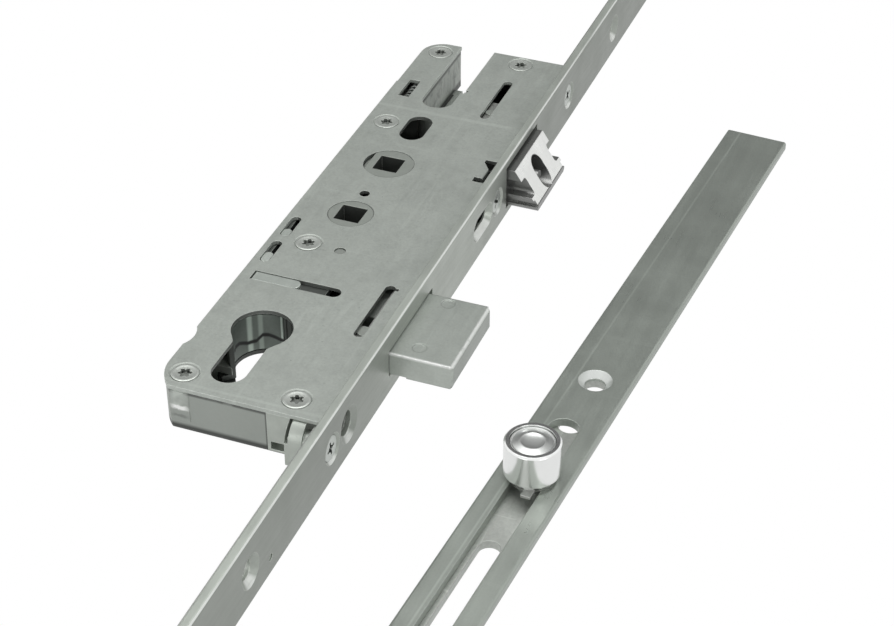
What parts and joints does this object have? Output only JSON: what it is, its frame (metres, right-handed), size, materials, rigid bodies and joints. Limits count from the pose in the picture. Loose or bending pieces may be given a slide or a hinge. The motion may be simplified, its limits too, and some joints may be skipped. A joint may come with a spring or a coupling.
{
  "type": "multipoint door lock",
  "caption": "Multipoint door lock: a lock case on a long slim faceplate with latch, thrown deadbolt and sliding rails, beside a second faceplate length with a roller bolt.",
  "frame": {"origin": "point on the main faceplate's front face, level with the cylinder's axis and in the middle of the faceplate's width", "axes": "+X out of the front of the main faceplate, the way the deadbolt is thrown; +Y up the door, along the faceplate; +Z across the faceplate, square to the lock case's cover"},
  "size_m": [0.1256, 0.405, 0.02],
  "materials": {
    "faceplate_zinc": "greenish zinc-nickel plate, satin",
    "case_zinc": "pale zinc plate, matt",
    "rail_zinc": "zinc plate, satin",
    "mechanism_steel": "pressed steel, satin",
    "cast_zinc": "die-cast zinc, satin",
    "deadbolt_steel": "plated steel, satin",
    "latch_bright": "polished zinc casting",
    "roller_bright": "turned and plated steel",
    "screw_steel": "zinc plate",
    "spring_steel": "bright spring wire"
  },
  "bodies": {
    "lock_case": {"faceplate": "faceplate_zinc", "case_base": "case_zinc", "case_cover": "case_zinc", "cover_screws": "screw_steel", "cover_posts": "screw_steel", "zinc_foot": "cast_zinc", "faceplate_screws": "screw_steel", "top_screw_block": "cast_zinc", "mid_screw_block": "cast_zinc", "ring_guide": "cast_zinc", "idler_pin": "screw_steel", "guide_stud": "screw_steel", "roller_faceplate": "faceplate_zinc", "finger_spring": "spring_steel", "latch_spring": "spring_steel"},
    "drive_rails": {"lower_rail": "rail_zinc", "upper_rail": "rail_zinc", "drive_plate": "mechanism_steel", "drive_rivets": "screw_steel"},
    "roller_carriage": {"roller_rail": "rail_zinc", "roller_pin": "roller_bright", "roller_washer": "mechanism_steel"},
    "roller": {"roller_sleeve": "roller_bright"},
    "upper_lever_follower": {"upper_follower": "cast_zinc", "lift_sector": "mechanism_steel"},
    "lower_lever_follower": {"lower_follower": "cast_zinc", "latch_lever": "mechanism_steel"},
    "latch": {"latch_head": "latch_bright", "latch_carriage": "mechanism_steel", "latch_rivets": "screw_steel"},
    "bolt": {"deadbolt": "deadbolt_steel", "deadbolt_rack": "mechanism_steel", "deadbolt_rivets": "screw_steel"},
    "cam": {"cam_ring": "cast_zinc"},
    "idler": {"idler_gear": "cast_zinc"},
    "link_bar": {"rear_bar": "mechanism_steel"},
    "cross_slide": {"blocking_slide": "mechanism_steel"}
  },
  "joints": [
    {"name": "drive_slide", "type": "slide", "parent": "lock_case", "child": "drive_rails", "axis": [0, 1, 0], "range_m": [0, 0.018]},
    {"name": "roller_rail_slide", "type": "slide", "parent": "lock_case", "child": "roller_carriage", "axis": [0.068, 0.9977, 0], "range_m": [0, 0.018]},
    {"name": "roller_spin", "type": "hinge", "parent": "roller_carriage", "child": "roller", "pos_m": [0.05047, -0.01876, 0], "axis": [0, 0, 1], "continuous": true},
    {"name": "upper_follower_turn", "type": "hinge", "parent": "lock_case", "child": "upper_lever_follower", "pos_m": [-0.035, 0.092, 0], "axis": [0, 0, 1], "range_deg": [0, 60.7]},
    {"name": "latch_slide", "type": "slide", "parent": "lock_case", "child": "latch", "axis": [-1, 0, 0], "range_m": [0, 0.0105], "stiffness_N_per_m": 300, "springref_m": -0.015, "deforming": ["latch_spring"]},
    {"name": "lower_follower_turn", "type": "hinge", "parent": "lock_case", "child": "lower_lever_follower", "pos_m": [-0.035, 0.062, 0], "axis": [0, 0, 1], "range_deg": [0, 43]},
    {"name": "deadbolt_slide", "type": "slide", "parent": "lock_case", "child": "bolt", "axis": [-1, 0, 0], "range_m": [0, 0.0185]},
    {"name": "cam_ring_turn", "type": "hinge", "parent": "lock_case", "child": "cam", "pos_m": [-0.035, 0, 0], "axis": [0, 0, 1], "range_deg": [-84.8, 0]},
    {"name": "idler_turn", "type": "hinge", "parent": "lock_case", "child": "idler", "pos_m": [-0.026, 0.01559, 0], "axis": [0, 0, 1], "range_deg": [0, 192.8]},
    {"name": "rear_bar_slide", "type": "slide", "parent": "lock_case", "child": "link_bar", "axis": [0, 1, 0], "range_m": [0, 0.0055], "stiffness_N_per_m": 200, "springref_m": -0.008, "deforming": ["finger_spring"]},
    {"name": "blocking_slide_move", "type": "slide", "parent": "lock_case", "child": "cross_slide", "axis": [1, 0, 0], "range_m": [0, 0.012]}
  ],
  "couplings": [
    {"joint": "roller_rail_slide", "follows": "drive_slide", "ratio": 1},
    {"joint": "upper_follower_turn", "follows": "drive_slide", "rad_per_m": 58.824},
    {"joint": "lower_follower_turn", "follows": "latch_slide", "rad_per_m": 71.429},
    {"joint": "cam_ring_turn", "follows": "deadbolt_slide", "rad_per_m": -80},
    {"joint": "idler_turn", "follows": "deadbolt_slide", "rad_per_m": 181.82}
  ]
}
